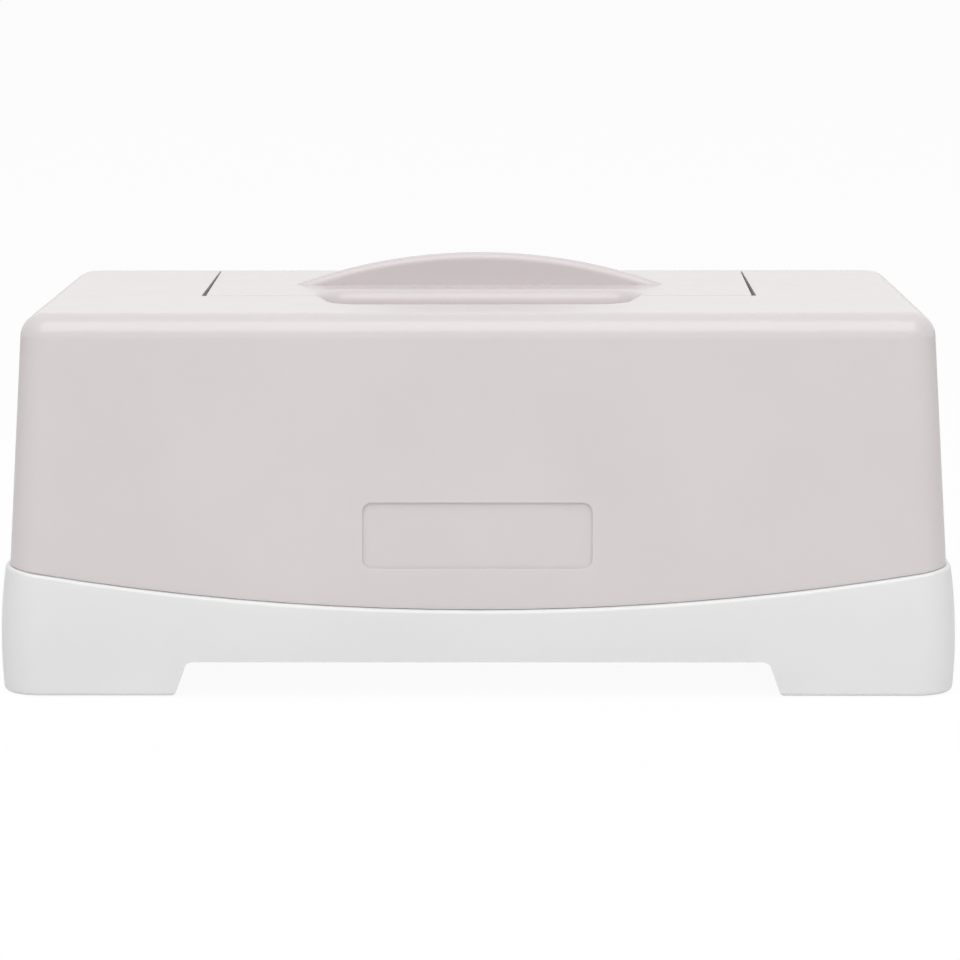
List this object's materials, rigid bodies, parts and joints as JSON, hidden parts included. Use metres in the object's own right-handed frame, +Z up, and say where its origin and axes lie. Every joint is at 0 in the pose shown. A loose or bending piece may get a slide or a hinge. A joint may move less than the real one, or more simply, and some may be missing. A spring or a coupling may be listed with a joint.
{
  "type": "baby wipes box",
  "caption": "Rectangular baby wipes box with a drafted lift-off cover, a hinged lid with a crescent grip and finger well, a footed tray and a loose weight plate inside.",
  "frame": {"origin": "on the table, under the middle of the box", "axes": "+X to the right and +Z up as seen from the front, +Y to the back, where the hinge is"},
  "size_m": [0.248, 0.128, 0.1074],
  "materials": {
    "tray_white": "fine satin",
    "cover_blush": "satin",
    "pad_rubber": "matt",
    "gasket_silicone": "matt",
    "pin_steel": "bright drawn",
    "bar_steel": "plated"
  },
  "bodies": {
    "tray": {"base_tray": "tray_white", "foot_pad_front_left": "pad_rubber", "foot_pad_front_right": "pad_rubber", "foot_pad_rear_left": "pad_rubber", "foot_pad_rear_right": "pad_rubber"},
    "cover": {"cover": "cover_blush", "lid_deck": "cover_blush", "finger_well": "cover_blush", "hinge_pin_left": "pin_steel", "hinge_pin_right": "pin_steel"},
    "lid": {"lid": "cover_blush", "lid_liner": "tray_white", "lid_gasket": "gasket_silicone"},
    "weight": {"weight_plate_shell": "tray_white", "weight_plate_base": "tray_white", "weight_bar_left": "bar_steel", "weight_bar_right": "bar_steel"}
  },
  "joints": [
    {"name": "cover_lift", "type": "slide", "parent": "tray", "child": "cover", "axis": [0, 0, 1], "range_m": [0, 0.07]},
    {"name": "lid_hinge", "type": "hinge", "parent": "cover", "child": "lid", "pos_m": [0, 0.05138, 0.0921], "axis": [-1, 0, 0], "range_deg": [0, 105]},
    {"name": "weight_rise", "type": "slide", "parent": "tray", "child": "weight", "axis": [0, 0, 1], "range_m": [0, 0.05]}
  ]
}
